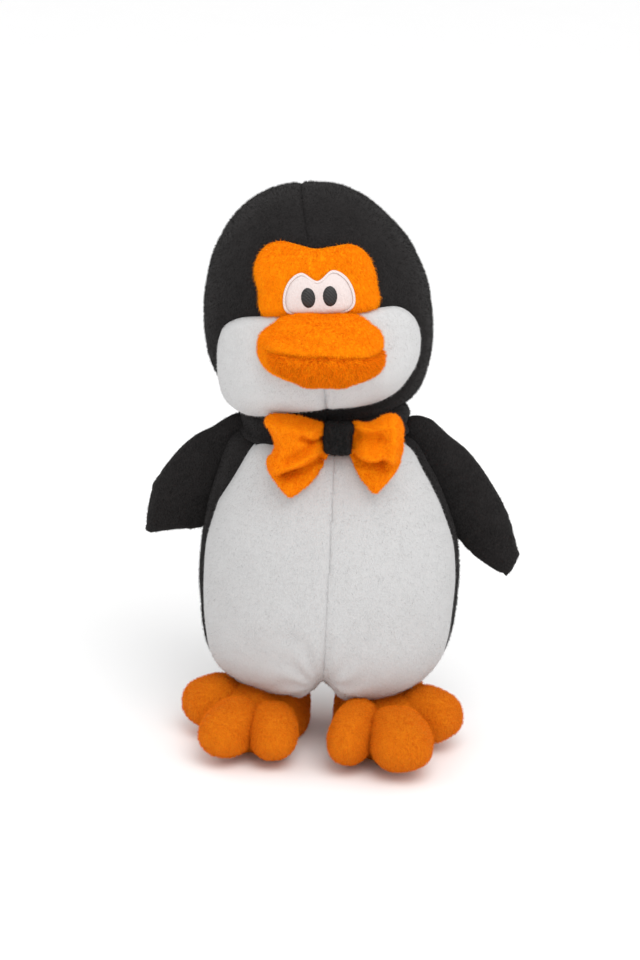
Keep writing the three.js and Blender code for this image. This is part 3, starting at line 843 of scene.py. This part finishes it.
def body_shape(v, n):
    """The sewn body: grooves at its seams, two leg lobes with a fork between them."""
    belly, middle = body_fields(v)
    rise = groove(belly, depth=2.0, width=2.2) + puff(-belly, height=1.2, reach=9.0)
    low = blend_step(78 - v[:, 2], 0, 34)
    front_seam = blend_step(-belly, 0, 3)
    rise += front_seam * groove(middle, depth=0.7 + 1.2 * low, width=1.3 + 2.5 * low)
    rise += (1 - front_seam) * blend_step(belly, 0, 4) * groove(middle, depth=1.4, width=1.8)
    reach = np.hypot(v[:, 0] + 2, v[:, 2] - 46)
    ray = np.sin(11 * np.arctan2(v[:, 2] - 46, v[:, 0] + 2) + 2.5 * np.sin(reach / 9))
    rise += front_seam * 0.6 * ray * np.exp(-(((reach - 14) / 12) ** 2)) * blend_step(-v[:, 1], 5, 25)
    rise += unevenness(v, 45.0, 1.4, 9) + unevenness(v, 17.0, 0.45, 10)
    shaped = v + n * rise[:, None]
    sag = blend_step(74 - v[:, 2], 0, 30) * blend_step(-v[:, 1], -34, 22)
    shaped[:, 2] -= 7.0 * sag
    fork = np.exp(-((v[:, 0] / 7.0) ** 2)) * blend_step(62 - v[:, 2], 0, 26)
    shaped[:, 2] += 6.0 * fork
    shaped[:, 1] *= 1 - 0.10 * fork
    return shaped


def make_body():
    verts, tris = closed_form(BODY_RINGS)
    normals = normals_of(verts, tris)
    inner = body_shape(verts, normals) - normals * FILL_INSET
    solid_piece("body_fill", inner, tris, "body", FILL, ["body_stuffing"], fill=0.9)
    belly, _ = body_fields(verts)
    front = cut(verts, tris, belly, normals)
    back = cut(verts, tris, -belly, normals)
    for name, side in SIDES:
        for part, kind, material, pile, node in (
            (front, "belly", WHITE, nap(WHITE_FIBRES, 0.8, 1.1, 0.2, 31), f"belly_{name}"),
            (back, "back", BLACK, nap(BLACK_FIBRES, 0.8, 1.3, 0.22, 32), f"back_{name}"),
        ):
            v, t, n = cut(part[0], part[1], -side * part[0][:, 0], part[2])
            n = unit(n)
            panel(f"{kind}_panel_{name}", body_shape(v, n), t, n, "body", material, [node], pile)


NECK_RINGS = [
    (14, 0, 0, 0), (13.5, 36, 30, 33), (9, 41, 34, 37), (4, 42.5, 36, 38.5), (-1, 43.5, 37, 39.5),
    (-6, 41, 35, 38), (-7, 0, 0, 0),
]


def make_neck():
    verts, tris = closed_form(NECK_RINGS, 2.1, 2.0)
    normals = normals_of(verts, tris)
    angle = np.arctan2(verts[:, 1], verts[:, 0])
    crumple = 0.8 * np.sin(verts[:, 2] / 2.2 + 1.5 * np.sin(3 * angle)) + unevenness(verts, 7.0, 1.0, 14)
    verts = verts + normals * crumple[:, None]
    at = Matrix.Translation((NECK[0], 0, NECK[2] - 16))
    place = at @ Matrix.Rotation(math.radians(HEAD_TILT / 2), 4, "Y")
    low, high = (tuple(world([NECK[0], 0, z])) for z in (168.0, 182.0))
    solid_piece("neck_sleeve", placed(verts, place), tris, "neck", BLACK, ["neck_collar"],
                fill=0.5, nap=nap(BLACK_FIBRES, 0.9, 1.3, 0.22, 15), blend=("neck", "head", low, high))


def make_legs():
    rings = [(47, 0, 0, 0), (46, 11, 11, 11), (42, 17, 17, 17), (34, 19, 19, 18.5), (26, 18.5, 18.5, 18),
             (18, 15, 15, 15), (14, 9, 9, 9), (13, 0, 0, 0)]
    for name, side in SIDES:
        verts, tris = closed_form(rings, 2.0, 1.6)
        verts = uneven(verts, tris, 8.0, 0.9, 17 + side) + np.array([side * ANKLE["x"], ANKLE["y"], 0])
        solid_piece(f"leg_sock_{name}", verts, tris, "body", WHITE, [f"leg_{name}"], fill=0.8,
                    nap=nap(WHITE_FIBRES, 0.8, 1.1, 0.2, 33))


# Wings


def flat_sheet(loop, step):
    """Triangles that fill a loop in X and Z, with each vertex's distance inside the loop."""
    low, high = loop.min(axis=0) - step, loop.max(axis=0) + step
    nx, nz = (int(s / step) + 2 for s in high - low)
    xs = low[0] + step * np.arange(nx)
    zs = low[1] + step * np.arange(nz)
    gx, gz = np.meshgrid(xs, zs)
    gx = gx + step / 2 * (np.arange(nz) % 2)[:, None]
    points = np.stack([gx.ravel(), gz.ravel()], axis=1)
    tris = []
    for r in range(nz - 1):
        for i in range(nx - 1):
            a, b = r * nx + i, r * nx + i + 1
            c, d = a + nx, b + nx
            tris += [[a, b, c], [b, d, c]] if r % 2 == 0 else [[a, b, d], [a, d, c]]
    field = outline_distance(points, loop)
    verts = np.stack([points[:, 0], np.zeros(len(points)), points[:, 1]], axis=1)
    v, t = cut(verts, np.array(tris), field)
    return v, t, np.maximum(-outline_distance(v[:, [0, 2]], loop), 0)


CLOTH_FRAMES = 20


def inflate(verts, tris, pinned, pressure, cap):
    """Cloth under pressure, its moves capped. pinned is a weight per vertex that holds it in place."""
    obj = mesh_object("cloth_work", verts, tris, [])
    group = obj.vertex_groups.new(name="pin")
    weights = np.round(pinned, 1)
    for weight in np.unique(weights[weights > 0]):
        group.add([int(i) for i in np.flatnonzero(weights == weight)], float(weight), "REPLACE")
    cloth = obj.modifiers.new("cloth", "CLOTH")
    settings = cloth.settings
    settings.quality = 5
    settings.mass = 0.15
    settings.tension_stiffness = 12.0
    settings.compression_stiffness = 12.0
    settings.shear_stiffness = 4.0
    settings.bending_stiffness = 0.4
    settings.use_pressure = True
    settings.uniform_pressure_force = pressure
    settings.vertex_group_mass = "pin"
    settings.effector_weights.gravity = 0
    cloth.collision_settings.use_collision = False
    cloth.point_cache.frame_end = CLOTH_FRAMES
    for step in range(1, CLOTH_FRAMES + 1):
        bpy.context.scene.frame_set(step)
    graph = bpy.context.evaluated_depsgraph_get()
    result = obj.evaluated_get(graph).to_mesh()
    moved = np.empty(3 * len(verts), np.float32)
    result.vertices.foreach_get("co", moved)
    moved = moved.reshape(-1, 3) * 1000.0 - CENTRE
    bpy.context.scene.frame_set(1)
    bpy.data.objects.remove(obj)
    shift = moved - verts
    far = np.linalg.norm(shift, axis=1, keepdims=True)
    return verts + shift * np.minimum(1, cap / np.maximum(far, 1e-9))


def make_wing(name, side):
    place = wing_place(name, side)
    loop = smooth_loop([(side * x, z) for x, z in WINGS[name]])
    sheet, tris, inside = flat_sheet(loop, 2.2)
    verts, tris, back_tris, off_edge = pillow(sheet, rounded(inside, 5.2, 11.0), tris, inside, FORWARD)
    all_tris = np.concatenate([tris, back_tris])
    local = np.concatenate([sheet, sheet[off_edge]])
    pinned = blend_step(local[:, 2], -22, -4)
    shaped = inflate(placed(verts, place), all_tris, pinned, pressure=2.6, cap=3.4)
    normals = normals_of(shaped, all_tris)
    rise = unevenness(local, 12.0, 0.8, 41 + side)
    rise *= blend_step(np.concatenate([inside, inside[off_edge]]), 0, 6)
    shaped = shaped + normals * rise[:, None]
    start = tuple(world(placed(np.array([[0, 0, -1.0]]), place))[0])
    end = tuple(world(placed(np.array([[0, 0, -17.0]]), place))[0])
    for kind, part in (("front", tris), ("back", back_tris)):
        used, tight = np.unique(part, return_inverse=True)
        v, t = shaped[used], tight.reshape(-1, 3)
        nodes = [f"wing_{name}_{kind}"] + ([f"wing_{name}_stuffing"] if kind == "back" else [])
        panel(f"wing_{name}_{kind}_panel", v, t, normals[used], f"wing_{name}", BLACK, nodes,
              nap(BLACK_FIBRES, 0.9, 1.3, 0.22, 43 + side), thickness=1.2,
              blend=("body", f"wing_{name}", start, end))


# Feet


def toe_mesh(toe, side):
    """A plump toe, pressed flat where it rests on the sole."""
    rings = [(math.cos(a), math.sin(a), math.sin(a), math.sin(a)) for a in np.linspace(0, math.pi, 15)]
    verts, tris = closed_form(rings, 2.45, 0.09)
    verts = verts * np.array(toe["half"])
    verts += np.array([0, -toe["reach"], toe["half"][2] + SOLE_THICK - 1 + toe["lift"]])
    verts[:, 2] = np.where(verts[:, 2] < 1.5, 1.5 + 0.15 * (verts[:, 2] - 1.5), verts[:, 2])
    turn = Matrix.Rotation(math.radians(side * toe["azimuth"]), 4, "Z")
    return placed(verts, turn), tris


def make_foot(name, side):
    """An instep, three toes and the sole pad under them."""
    place = foot_place(side)
    body = f"foot_{name}"
    foot_nap = nap(FOOT_FIBRES, 2.4, 1.6, 0.26, 51 + side, 0.8)
    verts, tris = closed_form(INSTEP_RINGS, ROUNDNESS, 1.6)
    verts = uneven(verts, tris, 12.0, 1.2, 52 + side)
    verts[:, 0] = verts[:, 0] * INSTEP["width"] + side * INSTEP["out"]
    verts[:, 2] = np.maximum(verts[:, 2], FLOOR_GAP)
    solid_piece(f"instep_{name}", placed(verts, place), tris, body, FOOT_ORANGE,
                [f"foot_{name}_instep", f"foot_{name}_stuffing"], fill=0.9, nap=foot_nap)
    for toe_name, toe in TOES[name].items():
        verts, tris = toe_mesh(toe, side)
        verts = uneven(verts, tris, 11.0, 1.0, 55 + toe["azimuth"])
        verts[:, 2] = np.maximum(verts[:, 2], FLOOR_GAP)
        solid_piece(f"toe_{toe_name}_{name}", placed(verts, place), tris, body, FOOT_ORANGE,
                    [f"foot_{name}_toe_{toe_name}"], fill=0.9, nap=foot_nap)
    pad = smooth_loop([(side * (SOLE_PAD["across"] * x + SOLE_PAD["out"]), SOLE_PAD["along"] * y)
                       for x, y in SOLE])
    sheet, tris, inside = flat_sheet(pad, 2.0)
    half = rounded(inside, SOLE_PAD["thick"], 4.0) / 2
    middle = np.stack([sheet[:, 0], sheet[:, 2], np.full(len(sheet), SOLE_PAD["thick"] / 2)], axis=1)
    verts, top, bottom, _ = pillow(middle, half, tris, inside, -DOWN)
    solid_piece(f"sole_pad_{name}", placed(verts, place), np.concatenate([top, bottom]), body, FOOT_ORANGE,
                [f"foot_{name}_sole"], fill=0.4)


# Bow tie

# Outline of each layer from the knot outwards, in X and Z
BOW = {
    "left": {
        "front": [(-1, 7), (5, 10.5), (15, 13), (28, 12), (29.5, 9), (26, 3), (24, -5), (26.5, -11),
                  (26, -18), (22.5, -19), (16.5, -16), (8.7, -13.2), (2, -8.2), (-2, -6)],
        "back": [(0, 5), (14, 8), (22, 6), (23, -8), (27.5, -12), (27, -18), (22.5, -24.5), (17, -30),
                 (14.8, -31.2), (12, -30), (6.5, -25.5), (-0.5, -17.5), (-3.5, -9), (-3, 0)],
    },
    "right": {
        "front": [(-1, 9), (7, 11), (15, 15.5), (20.5, 16), (24, 11), (24.8, 3), (24.3, -6), (21, -10.5),
                  (15.5, -8), (9, -9.5), (4, -8.3), (0, -5)],
        "back": [(0, 5), (10, 8), (20, 9), (23, -5), (24, -11), (21, -18), (14, -25.6), (12, -27),
                 (9.5, -25.8), (4.5, -21), (0, -14), (-2, -8)],
    },
}
# Folds of each layer: the line along it, how deep it goes (negative stands out) and how wide it is
BOW_FOLDS = {
    "left": {
        "front": [
            ([(-2, 0.5), (5.5, 0), (10, 3)], 4.0, 1.7), ([(5.5, 0), (9, -4), (17, -9)], 2.4, 2.2),
            ([(3, 6), (16, 8), (27, 8)], -1.6, 3.0), ([(4, -5), (10, -9), (22, -15)], -2.6, 2.6),
        ],
        "back": [([(1, -12), (9, -16), (18, -19)], 3.6, 3.0), ([(16, -29), (15, -22)], -2.4, 4.0)],
    },
    "right": {
        "front": [
            ([(3, 3.5), (11.5, 4.5)], 6.5, 3.8), ([(20, 13), (20.5, 0), (20, -7)], -2.4, 3.0),
            ([(2, 9.5), (14, 12.5)], -1.4, 2.0), ([(3, -4.5), (12, -5.5)], -2.2, 2.2),
        ],
        "back": [([(2, -10), (14, -11)], 3.0, 3.0), ([(12, -26), (14, -18)], -2.4, 4.0)],
    },
}


def path_distance(points, path):
    """Distance of each point from an open line through the points of path."""
    near = np.full(len(points), np.inf)
    for a, b in zip(np.array(path[:-1], float), np.array(path[1:], float)):
        share = np.clip((points - a) @ (b - a) / ((b - a) @ (b - a)), 0, 1)
        near = np.minimum(near, np.linalg.norm(points - a - share[:, None] * (b - a), axis=1))
    return near


def make_bow(name, side):
    """A folded loop in two layers: the front one overhangs the tail behind it."""
    origin = KNOT + np.array([side * 8.0, -1.5, 0])
    for kind, depth, lift in (("front", 7.0, -2.4), ("back", 4.0, 2.2)):
        loop = smooth_loop([(side * x, z) for x, z in BOW[name][kind]])
        sheet, tris, inside = flat_sheet(loop, 0.8)
        flat = np.stack([sheet[:, 0] * side, sheet[:, 2]], axis=1)
        out, z = flat.T
        thick = rounded(inside, depth, 2.6)
        centre = lift + unevenness(sheet, 9.0, 1.0, 61 + side if kind == "front" else 63)
        centre += 4.2 * blend_step(5.0 - out, 0, 6)
        centre += 0.5 * np.exp(-np.maximum(out, 0) / 6.0) * np.sin(z * 1.3 + 0.6)
        if kind == "front":
            centre += -5.0 * np.sin(np.clip(out / 27.0, 0, 1) * math.pi) * blend_step(inside, 0, 4)
        else:
            centre += -3.0 * blend_step(-z, 14, 30)
        for path, fold, width in BOW_FOLDS[name][kind]:
            centre += fold * np.exp(-((path_distance(flat, path) / width) ** 2))
        sheet[:, 1] = centre
        verts, front, back, _ = pillow(sheet, thick / 2, tris, inside, FORWARD)
        nodes = [f"bow_{name}"] if kind == "front" else []
        solid_piece(f"bow_{name}_{kind}", verts + origin, np.concatenate([front, back]), f"bow_{name}",
                    BOW_ORANGE, nodes, fill=0.2, nap=nap(BOW_FIBRES, 3.0, 1.3, 0.26, 65 + side, 0.7))


def make_knot():
    rings = [(9.5, 0, 0, 0), (9.2, 6.2, 2.8, 3.0), (8, 7.3, 4.6, 4.5), (3, 7.3, 5.6, 5), (-3, 7.1, 5.6, 5),
             (-5.8, 6.4, 4.8, 4.5), (-7, 4.6, 3.0, 3.0), (-7.4, 0, 0, 0)]
    verts, tris = closed_form(rings, 3.2, 0.7)
    normals = normals_of(verts, tris)
    crease = 0.45 * np.sin(verts[:, 0] * 1.6 + 0.25 * verts[:, 2])
    crease *= blend_step(8.5 - np.abs(verts[:, 2]), 0, 3)
    verts = verts + normals * (crease + unevenness(verts, 4.0, 0.5, 71))[:, None] + KNOT + 2.0 * FORWARD
    solid_piece("knot_band", verts, tris, "body", BLACK_FLEECE, ["bow_knot"], fill=0.4,
                nap=nap(BLACK_FIBRES, 2.5, 1.1, 0.22, 72))


# Floor, light and camera

FLOOR_HALF = 6.0


def make_stage():
    mesh = bpy.data.meshes.new("floor")
    corners = [(x * FLOOR_HALF, y * FLOOR_HALF, 0) for x, y in ((-1, -1), (1, -1), (1, 1), (-1, 1))]
    mesh.from_pydata(corners, [], [(0, 1, 2, 3)])
    floor = added("floor", mesh)
    material, nodes, links, shader = node_tree("paper_floor")
    links.new(mixed(nodes, links, noise_node(nodes, links, 40.0), (0.95, 0.95, 0.95), (0.97, 0.97, 0.97)),
              shader.inputs["Base Color"])
    give(shader, Roughness=0.9)
    mesh.materials.append(material)


KEY_LIGHT = {"location": Vector((0.35, -0.9, 1.7)), "target": Vector((0, 0, 0.12)), "watts": 16, "size": 1.5}


def make_lights():
    """A white room, and one wide lamp above and in front."""
    background = bpy.data.worlds.new("studio")
    background.use_nodes = True
    give(background.node_tree.nodes["Background"], Color=(1.0, 1.0, 1.0, 1), Strength=0.95)
    bpy.context.scene.world = background
    data = bpy.data.lights.new("key", "AREA")
    data.energy = KEY_LIGHT["watts"]
    data.shape = "DISK"
    data.size = KEY_LIGHT["size"]
    light = added("key", data)
    light.location = KEY_LIGHT["location"]
    aim = KEY_LIGHT["target"] - KEY_LIGHT["location"]
    light.rotation_euler = aim.to_track_quat("-Z", "Y").to_euler()
    bpy.context.scene.view_settings.view_transform = "Standard"


# The camera's angles in degrees, and its distance and the width it sees there in metres
ELEVATION = 20.0
ROLL = 2.7
DISTANCE = 2.2
VIEW_WIDTH = 0.3296
TARGET = Vector((-0.00775, 0.0018, 0.1402))


def make_camera():
    data = bpy.data.cameras.new("camera")
    data.sensor_fit = "HORIZONTAL"
    data.sensor_width = 36.0
    data.lens = data.sensor_width * DISTANCE / VIEW_WIDTH
    data.clip_end = 30.0
    camera = added("camera", data)
    e = math.radians(ELEVATION)
    camera.location = TARGET + DISTANCE * Vector((0, -math.cos(e), math.sin(e)))
    aim = (TARGET - camera.location).to_track_quat("-Z", "Y").to_matrix().to_4x4()
    camera.rotation_euler = (aim @ Matrix.Rotation(math.radians(ROLL), 4, "Z")).to_euler()
    bpy.context.scene.camera = camera


make_camera()
make_stage()
make_lights()
make_head()
make_eyes()
make_beak()
make_body()
make_neck()
make_legs()
make_knot()
for side_name, side_sign in SIDES:
    make_wing(side_name, side_sign)
    make_foot(side_name, side_sign)
    make_bow(side_name, side_sign)
